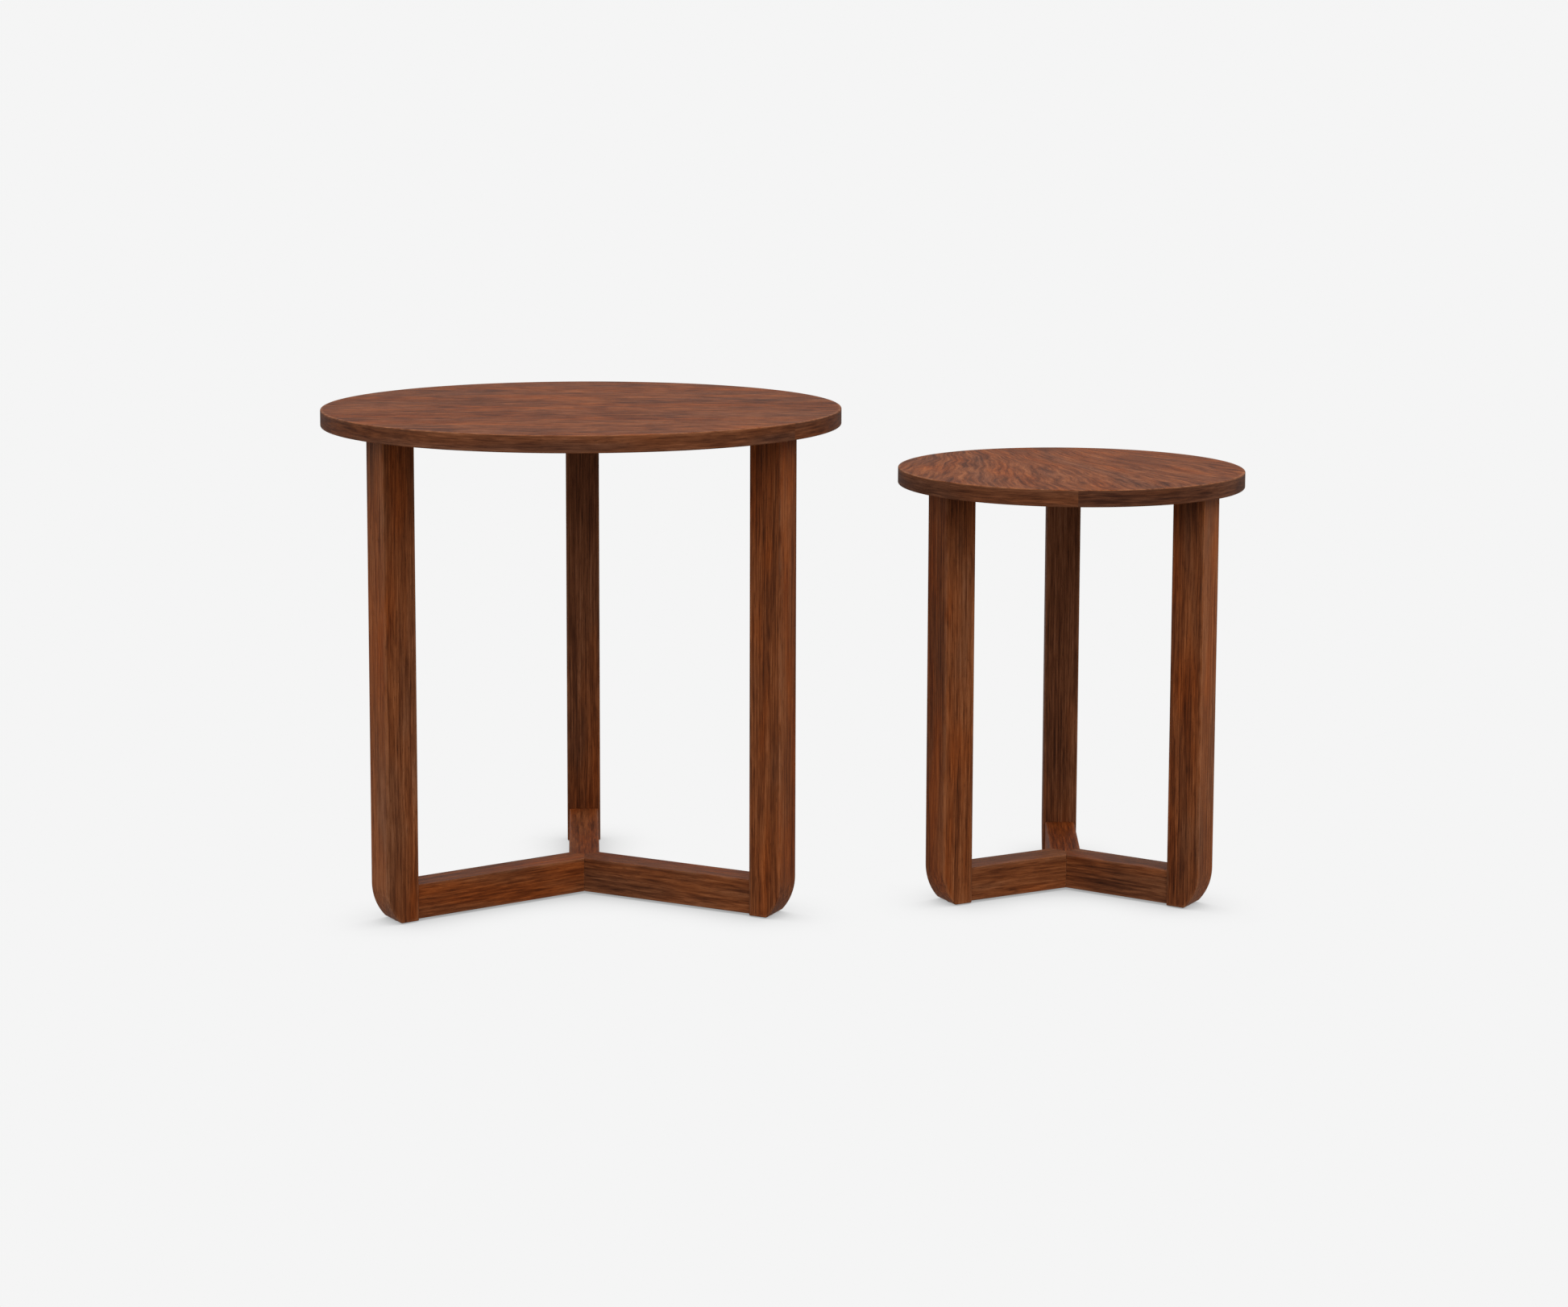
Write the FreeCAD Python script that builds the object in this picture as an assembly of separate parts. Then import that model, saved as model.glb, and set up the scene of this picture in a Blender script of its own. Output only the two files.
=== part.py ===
"""Two round nesting side tables in solid walnut and walnut veneer.

Each table is a veneered disc with a solid-wood edge band, on three square legs
that are tied together near the floor by a three-arm stretcher, mitred at its
hub. Steel plates, let into the leg tops, hold the disc. The small table stands
beside the large one and slides in under its top.

Millimetres. +Z is up, +X is to the right across the front, +Y is to the back.
The origin is on the floor, at the middle of the box that holds both tables.
"""

import FreeCAD, Part
import math
import os

V = FreeCAD.Vector
UP = V(0, 0, 1)

# ---- Driving dimensions -------------------------------------------------
# The two tables. Yaw turns a table about its own centre, seen from above.
# The seam is where an edge-band joint meets the rim, from +X.
TABLES = {
    "large": {"diameter": 610.0, "height": 582.0, "leg_inner_radius": 231.0, "yaw": 3.9, "seam": 325.0},
    "small": {"diameter": 410.0, "height": 508.0, "leg_inner_radius": 143.3, "yaw": -2.4, "seam": 267.0},
}
# How the pair stands: from the large table's centre to the small one's.
small_to_right = 578.0
small_to_back = 23.6

# Tops.
core_thickness = 18.0
veneer_thickness = 0.8
band_width = 10.0
rim_round = 1.6
band_segments = 3

# Legs. Depth is radial, width is across. The outer face curves in to the foot.
leg_depth = 40.0
leg_width = 41.6
leg_edge_round = 1.5
foot_flat = 22.5
foot_rise = 43.5

# Stretcher arms.
arm_width = 36.3
arm_height = 40.0
arm_floor_gap = 3.0
arm_edge_round = 1.2

# Loose tenons across the hub's mitres.
tenon_length = 18.0
tenon_thickness = 5.0
tenon_height = 24.0
tenon_from_centre = 11.5

# Dowels from each arm into its leg. The pair sits a little above the arm's
# middle, which leaves room under it for the glide's pin.
dowel_diameter = 8.0
dowel_in_arm = 25.0
dowel_in_leg = 25.0
dowel_spacing = 16.0
dowel_raise = 3.0
dowel_chamfer = 1.0

# Steel plates let into the leg tops.
plate_thickness = 2.5
plate_width = 22.0
plate_in_leg = 28.0
plate_past_leg = 36.0
plate_corner_radius = 4.0
plate_recess_clearance = 0.3
plate_hole_spacing = 16.0
plate_end_margin = 8.0

# Wood screws.
screw_diameter = 4.0
screw_hole_clearance = 0.25
screw_head_diameter = 8.0
screw_tip = 3.0
screw_point_diameter = 1.0
leg_screw_length = 32.0
leg_screw_head_depth = 2.2
top_screw_length = 15.0
top_screw_head_height = 2.4
drive_diameter = 3.0
drive_depth = 1.2

# Nylon glides under the feet, each on a steel pin.
glide_diameter = 18.0
glide_thickness = 1.5
glide_ease = 0.4
pin_diameter = 2.4
pin_tip = 2.0
pin_point_diameter = 0.6
pin_in_glide = 0.8
pin_to_dowel_gap = 1.3

# Smallest length that counts as a length, when edges are told apart.
tolerance = 1e-6

# ---- Worked out from the dimensions above -------------------------------
LEGS = {"rear": 90.0, "left": 210.0, "right": 330.0}
top_thickness = core_thickness + 2 * veneer_thickness
arm_middle_z = arm_floor_gap + arm_height / 2
dowel_middle_z = arm_middle_z + dowel_raise
foot_inset = leg_depth - foot_flat
foot_radius = (foot_rise**2 + foot_inset**2) / (2 * foot_inset)
hub_half_angle = 360.0 / len(LEGS) / 2
pin_low = glide_thickness - pin_in_glide
pin_high = dowel_middle_z - dowel_spacing / 2 - dowel_diameter / 2 - pin_to_dowel_gap
pin_length = pin_high - pin_low


def table_centres():
    """Both centres on the floor, with the pair's box centred on the origin."""
    large_r = TABLES["large"]["diameter"] / 2
    small_r = TABLES["small"]["diameter"] / 2
    left = min(-large_r, small_to_right - small_r)
    right = max(large_r, small_to_right + small_r)
    front = min(-large_r, small_to_back - small_r)
    back = max(large_r, small_to_back + small_r)
    shift = V(-(left + right) / 2, -(front + back) / 2, 0)
    return {"large": shift, "small": shift + V(small_to_right, small_to_back, 0)}


# ---- Small helpers ------------------------------------------------------
def turned(shape, degrees):
    """A copy of the shape, turned about the Z axis."""
    copy = shape.copy()
    copy.rotate(V(0, 0, 0), UP, degrees)
    return copy


def rounded(shape, radius, wanted):
    """The shape with every edge for which wanted(edge) is true rounded."""
    edges = [edge for edge in shape.Edges if wanted(edge)]
    return shape.makeFillet(radius, edges)


def block(x0, x1, width, z0, z1):
    """A box from x0 to x1 and z0 to z1, centred across Y."""
    return Part.makeBox(x1 - x0, width, z1 - z0, V(x0, -width / 2, z0))


def drilled(shape, tools):
    """The shape with each tool cut out of it."""
    return shape.cut(list(tools)) if tools else shape


def group(solids):
    """Separate solids of one node."""
    return Part.makeCompound(list(solids))


# ---- Positions shared by the pieces that meet ----------------------------
def leg_screw_places(inner_radius):
    """Where the screws go down through a plate into its leg."""
    outer = inner_radius + plate_in_leg - plate_end_margin
    return [outer, outer - plate_hole_spacing]


def top_screw_places(inner_radius):
    """Where the screws go up through a plate into the top."""
    inner = inner_radius - plate_past_leg + plate_end_margin
    return [inner, inner + plate_hole_spacing]


def dowel_heights():
    """The heights of the two dowels of a joint."""
    return [dowel_middle_z - dowel_spacing / 2, dowel_middle_z + dowel_spacing / 2]


def foot_middle(inner_radius):
    """The radius at the middle of a foot's flat."""
    return inner_radius + foot_flat / 2


# ---- Hardware ------------------------------------------------------------
def dowel(inner_radius, z):
    """One dowel, with chamfered ends, across the face between arm and leg."""
    length = dowel_in_arm + dowel_in_leg
    start = V(inner_radius - dowel_in_arm, 0, z)
    rod = Part.makeCylinder(dowel_diameter / 2, length, start, V(1, 0, 0))
    ends = [edge for edge in rod.Edges if isinstance(edge.Curve, Part.Circle)]
    return rod.makeChamfer(dowel_chamfer, ends)


def dowel_hole(inner_radius, z):
    """The hole that a dowel fills, in the arm and in the leg."""
    length = dowel_in_arm + dowel_in_leg
    start = V(inner_radius - dowel_in_arm, 0, z)
    return Part.makeCylinder(dowel_diameter / 2, length, start, V(1, 0, 0))


def tenon(side):
    """A loose tenon across one mitre of an arm, on its side +1 or -1."""
    solid = Part.makeBox(
        tenon_thickness,
        tenon_length,
        tenon_height,
        V(tenon_from_centre - tenon_thickness / 2, -tenon_length / 2, arm_middle_z - tenon_height / 2),
    )
    return turned(solid, side * hub_half_angle)


def screw_shank(x, z, length, direction):
    """A plain shank with a cone tip, from z along +Z or -Z."""
    axis = V(0, 0, direction)
    straight = length - screw_tip
    shank = Part.makeCylinder(screw_diameter / 2, straight, V(x, 0, z), axis)
    tip_at = V(x, 0, z + direction * straight)
    tip = Part.makeCone(screw_diameter / 2, screw_point_diameter / 2, screw_tip, tip_at, axis)
    return shank.fuse(tip)


def countersink(x, plate_top):
    """The cone that a countersunk head fills, flush with the plate's top."""
    low = V(x, 0, plate_top - leg_screw_head_depth)
    return Part.makeCone(screw_diameter / 2, screw_head_diameter / 2, leg_screw_head_depth, low)


def leg_screw(x, plate_top):
    """A countersunk screw, down through a plate into the leg."""
    head = countersink(x, plate_top)
    shank = screw_shank(x, plate_top - leg_screw_head_depth, leg_screw_length, -1)
    drive = Part.makeCylinder(drive_diameter / 2, drive_depth, V(x, 0, plate_top - drive_depth))
    return head.fuse(shank).cut(drive).removeSplitter()


def top_screw(x, plate_top):
    """A pan-head screw, up through a plate into the top."""
    seat = plate_top - plate_thickness
    low = seat - top_screw_head_height
    head = Part.makeCylinder(screw_head_diameter / 2, top_screw_head_height, V(x, 0, low))
    head = rounded(head, top_screw_head_height / 2, lambda edge: edge.BoundBox.ZMax < seat - tolerance)
    drive = Part.makeCylinder(drive_diameter / 2, drive_depth, V(x, 0, low))
    shank = screw_shank(x, seat, plate_thickness + top_screw_length, 1)
    return head.fuse(shank).cut(drive).removeSplitter()


def fixing_plate(inner_radius, plate_top):
    """A steel plate, flush with its leg's top, drilled for both kinds of screw."""
    low = plate_top - plate_thickness
    outer = inner_radius + plate_in_leg
    inner = inner_radius - plate_past_leg
    plate = block(inner, outer, plate_width, low, plate_top)
    plate = rounded(plate, plate_corner_radius, is_upright)
    tools = []
    for x in leg_screw_places(inner_radius):
        tools.append(Part.makeCylinder(screw_diameter / 2, plate_thickness, V(x, 0, low)))
        tools.append(countersink(x, plate_top))
    clear_radius = screw_diameter / 2 + screw_hole_clearance
    for x in top_screw_places(inner_radius):
        tools.append(Part.makeCylinder(clear_radius, plate_thickness, V(x, 0, low)))
    return drilled(plate, tools)


def is_upright(edge):
    """True for a straight edge along Z."""
    box = edge.BoundBox
    return box.ZLength > tolerance and box.XLength < tolerance and box.YLength < tolerance


def glide(inner_radius):
    """A nylon disc under a foot, with a blind hole for its pin."""
    x = foot_middle(inner_radius)
    disc = Part.makeCylinder(glide_diameter / 2, glide_thickness, V(x, 0, 0))
    disc = rounded(disc, glide_ease, lambda edge: edge.BoundBox.ZMax < tolerance)
    return disc.cut(pin_hole(inner_radius))


def pin_hole(inner_radius):
    """The hole that a glide's pin fills, in the glide and in the foot."""
    return Part.makeCylinder(pin_diameter / 2, pin_length, V(foot_middle(inner_radius), 0, pin_low))


def glide_pin(inner_radius):
    """The steel pin that holds a glide, pointed at its upper end."""
    x = foot_middle(inner_radius)
    straight = pin_length - pin_tip
    pin = Part.makeCylinder(pin_diameter / 2, straight, V(x, 0, pin_low))
    tip_at = V(x, 0, pin_low + straight)
    return pin.fuse(Part.makeCone(pin_diameter / 2, pin_point_diameter / 2, pin_tip, tip_at))


# ---- Legs and stretcher --------------------------------------------------
def leg_outline(inner_radius, top):
    """The leg seen from its side: straight, with the outer foot swept in by an arc."""
    outer = inner_radius + leg_depth
    heel = inner_radius + foot_flat
    low = glide_thickness
    centre_x = outer - foot_radius
    centre_z = low + foot_rise
    half = math.atan2(foot_rise, heel - centre_x) / 2
    middle = V(centre_x + foot_radius * math.cos(half), 0, centre_z - foot_radius * math.sin(half))
    corners = [V(heel, 0, low), V(inner_radius, 0, low), V(inner_radius, 0, top), V(outer, 0, top)]
    corners.append(V(outer, 0, centre_z))
    edges = [Part.makeLine(a, b) for a, b in zip(corners, corners[1:])]
    edges.append(Part.Arc(corners[-1], middle, corners[0]).toShape())
    return Part.Face(Part.Wire(edges))


def leg(inner_radius, top):
    """One leg, with its plate recess and the holes for dowels, screws and pin."""
    face = leg_outline(inner_radius, top)
    face.translate(V(0, -leg_width / 2, 0))
    solid = face.extrude(V(0, leg_width, 0))

    def on_a_side(edge):
        box = edge.BoundBox
        on_side = box.YLength < tolerance and abs(abs(box.YMin) - leg_width / 2) < tolerance
        return on_side and box.ZMin < top - tolerance

    solid = rounded(solid, leg_edge_round, on_a_side)
    seat = top - plate_thickness
    recess_width = plate_width + 2 * plate_recess_clearance
    recess_end = inner_radius + plate_in_leg + plate_recess_clearance
    tools = [block(inner_radius, recess_end, recess_width, seat, top)]
    tools += [dowel_hole(inner_radius, z) for z in dowel_heights()]
    for x in leg_screw_places(inner_radius):
        tools.append(leg_screw(x, top).common(below(seat)))
    tools.append(pin_hole(inner_radius))
    return drilled(solid, tools)


def below(z):
    """A large block under a height, to keep only what lies under it."""
    reach = 2 * TABLES["large"]["diameter"]
    return block(-reach, reach, 2 * reach, z - reach, z)


def stretcher_arm(inner_radius):
    """One arm, pointed at the hub so that it meets the others at mitres."""
    bar = block(-arm_width, inner_radius, arm_width, arm_floor_gap, arm_floor_gap + arm_height)

    def along_the_arm(edge):
        return edge.BoundBox.XLength > inner_radius

    bar = rounded(bar, arm_edge_round, along_the_arm)
    reach = inner_radius + arm_width
    slope = math.tan(math.radians(hub_half_angle))
    points = [V(0, 0, 0), V(reach, -reach * slope, 0), V(reach, reach * slope, 0), V(0, 0, 0)]
    wedge = Part.Face(Part.makePolygon(points)).extrude(V(0, 0, arm_floor_gap + arm_height))
    tools = [tenon(side) for side in (-1, 1)]
    tools += [dowel_hole(inner_radius, z) for z in dowel_heights()]
    return drilled(bar.common(wedge), tools)


# ---- Tops ------------------------------------------------------------------
def disc(radius, z0, z1):
    """A plain disc between two heights."""
    return Part.makeCylinder(radius, z1 - z0, V(0, 0, z0))


def top_pieces(table):
    """The core, both veneers and the edge band of one top, before it is turned.

    The rim is rounded through the veneers and into the band, as one surface.
    """
    radius = table["diameter"] / 2
    high = table["height"]
    low = high - top_thickness
    core_low = low + veneer_thickness
    core_high = high - veneer_thickness
    core_radius = radius - band_width
    holes = []
    for angle in LEGS.values():
        for x in top_screw_places(table["leg_inner_radius"]):
            shank = screw_shank(x, low - plate_thickness, plate_thickness + top_screw_length, 1)
            holes.append(turned(shank, angle + table["yaw"]))
    whole = disc(radius, low, high)
    rims = [edge for edge in whole.Edges if isinstance(edge.Curve, Part.Circle)]
    whole = whole.makeFillet(rim_round, rims)
    pieces = {
        "top_core": drilled(disc(core_radius, core_low, core_high), holes),
        "face_veneer": whole.common(disc(radius, core_high, high)),
        "back_veneer": drilled(whole.common(disc(radius, low, core_low)), holes),
    }
    span = 360.0 / band_segments
    for i in range(band_segments):
        outer = Part.makeCylinder(radius, core_thickness, V(0, 0, core_low), UP, span)
        inner = Part.makeCylinder(core_radius, core_thickness, V(0, 0, core_low), UP, span)
        segment = turned(outer.cut(inner), table["seam"] + i * span)
        pieces[f"edge_band_{i + 1}"] = segment.common(whole)
    return pieces


# ---- One whole table -------------------------------------------------------
def table_pieces(table):
    """Every node of one table, about its own centre."""
    inner_radius = table["leg_inner_radius"]
    leg_top = table["height"] - top_thickness
    yaw = table["yaw"]
    pieces = top_pieces(table)
    for side, angle in LEGS.items():
        pieces[f"leg_{side}"] = turned(leg(inner_radius, leg_top), angle + yaw)
        pieces[f"stretcher_{side}"] = turned(stretcher_arm(inner_radius), angle + yaw)
        pieces[f"fixing_plate_{side}"] = turned(fixing_plate(inner_radius, leg_top), angle + yaw)
        pieces[f"glide_{side}"] = turned(glide(inner_radius), angle + yaw)

    def at_each_leg(make):
        return group(turned(make(), angle + yaw) for angle in LEGS.values())

    def at_each_leg_many(makes):
        return group(turned(make, angle + yaw) for angle in LEGS.values() for make in makes)

    pieces["hub_tenons"] = at_each_leg(lambda: tenon(1))
    pieces["stretcher_dowels"] = at_each_leg_many([dowel(inner_radius, z) for z in dowel_heights()])
    leg_screws = [leg_screw(x, leg_top) for x in leg_screw_places(inner_radius)]
    top_screws = [top_screw(x, leg_top) for x in top_screw_places(inner_radius)]
    pieces["leg_screws"] = at_each_leg_many(leg_screws)
    pieces["top_screws"] = at_each_leg_many(top_screws)
    pieces["glide_pins"] = at_each_leg(lambda: glide_pin(inner_radius))
    return pieces


def main():
    os.makedirs("parts", exist_ok=True)
    centres = table_centres()
    for name, table in TABLES.items():
        for piece, shape in table_pieces(table).items():
            shape.translate(centres[name])
            node = f"{name}_{piece}"
            shape.exportStep(f"parts/{node}.step")
            print(f"{node}: {len(shape.Solids)} solid, valid {shape.isValid()}")


main()
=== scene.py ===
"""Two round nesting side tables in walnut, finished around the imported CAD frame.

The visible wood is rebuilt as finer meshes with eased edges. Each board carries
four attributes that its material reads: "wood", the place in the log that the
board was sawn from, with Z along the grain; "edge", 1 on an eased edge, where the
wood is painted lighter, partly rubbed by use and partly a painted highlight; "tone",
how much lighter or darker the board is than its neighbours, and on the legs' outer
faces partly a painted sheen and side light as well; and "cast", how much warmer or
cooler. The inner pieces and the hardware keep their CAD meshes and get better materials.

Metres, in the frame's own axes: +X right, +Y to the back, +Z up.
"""

import math

import bmesh
import bpy
import numpy as np
from mathutils import Matrix, Vector


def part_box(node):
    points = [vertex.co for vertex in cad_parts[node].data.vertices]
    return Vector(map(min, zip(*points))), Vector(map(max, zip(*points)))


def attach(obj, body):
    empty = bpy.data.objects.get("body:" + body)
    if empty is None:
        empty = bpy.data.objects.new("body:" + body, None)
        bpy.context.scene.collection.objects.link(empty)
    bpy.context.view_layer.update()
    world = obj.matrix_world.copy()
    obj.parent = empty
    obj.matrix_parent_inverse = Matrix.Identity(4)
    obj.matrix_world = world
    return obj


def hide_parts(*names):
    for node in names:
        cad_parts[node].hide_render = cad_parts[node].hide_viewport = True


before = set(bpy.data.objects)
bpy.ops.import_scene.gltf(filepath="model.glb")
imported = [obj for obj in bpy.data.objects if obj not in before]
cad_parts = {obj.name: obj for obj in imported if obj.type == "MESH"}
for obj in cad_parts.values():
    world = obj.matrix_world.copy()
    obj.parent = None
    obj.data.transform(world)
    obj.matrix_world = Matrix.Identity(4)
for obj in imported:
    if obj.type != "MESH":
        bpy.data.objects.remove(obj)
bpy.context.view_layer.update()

MM = 0.001

# ---- Sizes that the frame's boxes don't give, the same as the CAD's ---------
LEG_ANGLES = {"rear": 90.0, "left": 210.0, "right": 330.0}
LEG_WIDTH = 41.6 * MM
LEG_DEPTH = 40.0 * MM
LEG_ROUND = 1.5 * MM
FOOT_FLAT = 22.5 * MM
FOOT_RISE = 43.5 * MM
ARM_WIDTH = 36.3 * MM
ARM_ROUND = 1.2 * MM
MITRE_ANGLE = math.radians(60.0)
MITRE_ROUND = 0.25 * MM
MITRE_FADE = 1.2 * MM
RIM_ROUND = 1.6 * MM
BAND_WIDTH = 10.0 * MM
BAND_COUNT = 3
BAND_SEAMS = {"large": 325.0, "small": 267.0}

# ---- How finely the meshes are cut ------------------------------------------
ROUND_STEPS = 4
FOOT_STEPS = 18
TURN_STEPS = 288
FACE_RINGS = (0.0, 0.25, 0.5, 0.75, 0.93)
EDGE_FADE = 3.0 * MM
SHARP_ANGLE = math.radians(35.0)
FULL_TURN = 360.0

# ---- Boards: where each was sawn from its log, and its tone ------------------
# log: from the log's pith to the board's own origin, across, deep and up the log.
# tone: added to the figure's value, where 0 is the middle colour. outer: added as
# well on the face that looks outwards, which paints that face lighter (darker below 0):
# partly the board's own tone and partly a painted sheen and the side light falling on
# that face. cast: how much warmer (above 0) or cooler the low and the high end along
# the grain are.
BOARDS = {
    "large_leg_rear": dict(log=(0.062, 0.031, 2.10), tone=0.00, cast=(0.04, -0.40)),
    "large_leg_left": dict(log=(0.048, -0.052, 0.35), tone=0.10, outer=0.12),
    "large_leg_right": dict(log=(0.055, 0.040, 5.60), tone=0.02, outer=0.10, cast=(0.06, 0.06)),
    "small_leg_rear": dict(log=(-0.070, 0.022, 7.40), tone=0.07, cast=(-0.02, -0.40)),
    "small_leg_left": dict(log=(0.041, 0.058, 3.25), tone=0.11, outer=-0.02),
    "small_leg_right": dict(log=(-0.058, -0.047, 9.15), tone=-0.06, outer=0.32, cast=(0.04, 0.02)),
    "large_stretcher_rear": dict(log=(0.045, 0.050, 1.30), tone=-0.03, cast=(0.15, 0.15)),
    "large_stretcher_left": dict(log=(0.060, -0.035, 4.20), tone=-0.02),
    "large_stretcher_right": dict(log=(-0.052, 0.044, 6.70), tone=0.00),
    "small_stretcher_rear": dict(log=(0.038, -0.061, 8.20), tone=-0.02, cast=(0.15, 0.15)),
    "small_stretcher_left": dict(log=(-0.047, 0.055, 10.4), tone=0.08, cast=(-0.08, -0.08)),
    "small_stretcher_right": dict(log=(0.066, 0.029, 11.9), tone=0.00, cast=(-0.04, -0.04)),
    "large_edge_band_1": dict(log=(0.050, 0.060, 13.0), tone=0.00),
    "large_edge_band_2": dict(log=(-0.060, 0.040, 15.0), tone=-0.03),
    "large_edge_band_3": dict(log=(0.070, -0.050, 17.0), tone=-0.03),
    "small_edge_band_1": dict(log=(0.055, 0.045, 19.0), tone=-0.14, cast=(-0.20, -0.10)),
    "small_edge_band_2": dict(log=(-0.050, 0.050, 21.0), tone=-0.02),
    "small_edge_band_3": dict(log=(0.045, -0.060, 23.0), tone=0.06, cast=(0.05, -0.10)),
    "large_face_veneer": dict(log=(0.010, 0.046, 25.0), tone=-0.04),
    "small_face_veneer": dict(log=(0.000, 0.052, 27.0), tone=0.00),
    "large_back_veneer": dict(log=(0.030, 0.050, 29.0), tone=-0.02),
    "small_back_veneer": dict(log=(-0.020, 0.055, 31.0), tone=-0.02),
}


# =============================================================================
# Materials
# =============================================================================
class Nodes:
    """The node tree of a material or a world, with one short call for each kind of node."""

    def __init__(self, owner):
        owner.use_nodes = True
        self.owner = owner
        self.tree = owner.node_tree
        self.tree.nodes.clear()

    def feed(self, socket, value):
        if isinstance(value, bpy.types.NodeSocket):
            self.tree.links.new(value, socket)
        else:
            socket.default_value = value

    def add(self, kind, inputs=(), **settings):
        """A node with its settings made and its inputs, by name or number, fed."""
        node = self.tree.nodes.new(kind)
        for key, value in settings.items():
            setattr(node, key, value)
        for key, value in dict(inputs).items():
            self.feed(node.inputs[key], value)
        return node

    def attribute(self, name, output="Vector"):
        return self.add("ShaderNodeAttribute", attribute_name=name).outputs[output]

    def own_place(self):
        """Where the point is on its own object, in metres."""
        return self.add("ShaderNodeTexCoord").outputs["Object"]

    def math(self, operation, a, b=0.0, clamp=False):
        node = self.add("ShaderNodeMath", {0: a, 1: b}, operation=operation, use_clamp=clamp)
        return node.outputs[0]

    def vector(self, operation, a, b=(0, 0, 0)):
        node = self.add("ShaderNodeVectorMath", {0: a, 1: b}, operation=operation)
        return node.outputs["Vector"]

    def length(self, a):
        return self.add("ShaderNodeVectorMath", {0: a}, operation="LENGTH").outputs["Value"]

    def combine(self, x, y, z):
        return self.add("ShaderNodeCombineXYZ", {0: x, 1: y, 2: z}).outputs[0]

    def split(self, a):
        return self.add("ShaderNodeSeparateXYZ", {0: a}).outputs

    def noise(self, at, cells, detail=2.0, roughness=0.5, distortion=0.0, output="Fac"):
        """Noise with so many cells a metre along each axis of the place."""
        place = self.vector("MULTIPLY", at, cells)
        inputs = {"Vector": place, "Scale": 1.0, "Detail": detail}
        inputs.update({"Roughness": roughness, "Distortion": distortion})
        return self.add("ShaderNodeTexNoise", inputs).outputs[output]

    def noise_line(self, at, cells, detail=2.0, roughness=0.5):
        """Noise along a line, with so many cells a metre."""
        place = self.math("MULTIPLY", at, cells)
        inputs = {"W": place, "Scale": 1.0, "Detail": detail, "Roughness": roughness}
        return self.add("ShaderNodeTexNoise", inputs, noise_dimensions="1D").outputs["Fac"]

    def ranged(self, value, low, high, to_low=0.0, to_high=1.0, smooth=False):
        """value, from low..high to to_low..to_high, held at the ends."""
        inputs = {"Value": value, "From Min": low, "From Max": high}
        inputs.update({"To Min": to_low, "To Max": to_high})
        kind = "SMOOTHSTEP" if smooth else "LINEAR"
        return self.add("ShaderNodeMapRange", inputs, interpolation_type=kind).outputs["Result"]

    def mix(self, factor, a, b, blend="MIX"):
        """Two colours mixed."""
        inputs = {0: factor, 6: a, 7: b}
        node = self.add("ShaderNodeMix", inputs, data_type="RGBA", blend_type=blend)
        return node.outputs[2]

    def ramp(self, value, stops):
        """A colour ramp through (place, colour) stops."""
        node = self.add("ShaderNodeValToRGB", {0: value})
        elements = node.color_ramp.elements
        while len(elements) < len(stops):
            elements.new(1.0)
        for element, (place, colour) in zip(elements, stops):
            element.position = place
            element.color = (*colour, 1.0)
        return node.outputs["Color"]

    def bump(self, height, distance, strength=1.0):
        inputs = {"Strength": strength, "Distance": distance, "Height": height}
        return self.add("ShaderNodeBump", inputs).outputs["Normal"]

    def surface(self, **inputs):
        """The Principled shader and the output; names use _ for a space."""
        named = {key.replace("_", " "): value for key, value in inputs.items()}
        shader = self.add("ShaderNodeBsdfPrincipled", named)
        self.add("ShaderNodeOutputMaterial", {"Surface": shader.outputs[0]})
        return self.owner

    def total(self, *terms):
        """The sum of (value, weight) terms, each value taken about its middle, 0.5."""
        result = 0.5
        for value, weight in terms:
            part = self.math("MULTIPLY", self.math("SUBTRACT", value, 0.5), weight)
            result = self.math("ADD", part, result)
        return result


# Walnut under an oil-brown stain, from its darkest streaks to its lightest.
WALNUT_STOPS = [
    (0.00, (0.036, 0.0098, 0.0040)),
    (0.30, (0.096, 0.0255, 0.0082)),
    (0.50, (0.160, 0.0445, 0.0136)),
    (0.72, (0.236, 0.0715, 0.0225)),
    (1.00, (0.330, 0.1180, 0.0450)),
]
# The edge bands are a little darker and cooler.
BAND_STOPS = [
    (0.00, (0.030, 0.0088, 0.0048)),
    (0.30, (0.076, 0.0232, 0.0095)),
    (0.50, (0.128, 0.0402, 0.0156)),
    (0.72, (0.192, 0.0640, 0.0252)),
    (1.00, (0.275, 0.1030, 0.0460)),
]
# The veneers are a little cooler, and paler in their dark streaks.
VENEER_STOPS = [
    (0.00, (0.050, 0.0137, 0.0056)),
    (0.30, (0.112, 0.0327, 0.0128)),
    (0.50, (0.172, 0.0521, 0.0203)),
    (0.72, (0.238, 0.0775, 0.0302)),
    (1.00, (0.330, 0.1190, 0.0493)),
]
BEECH_STOPS = [(0.20, (0.36, 0.22, 0.12)), (0.55, (0.50, 0.34, 0.20)), (0.90, (0.62, 0.46, 0.30))]
BOARD_STOPS = [(0.20, (0.17, 0.10, 0.055)), (0.50, (0.29, 0.19, 0.11)), (0.85, (0.42, 0.30, 0.19))]
ZINC_STOPS = [(0.20, (0.40, 0.41, 0.42)), (0.50, (0.56, 0.57, 0.58)), (0.80, (0.68, 0.68, 0.67))]
NYLON_STOPS = [(0.30, (0.030, 0.021, 0.016)), (0.70, (0.060, 0.042, 0.032))]
SCUFF_COLOUR = (0.16, 0.14, 0.125, 1.0)
SCUFF_HEIGHT = 0.6 * MM

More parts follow.
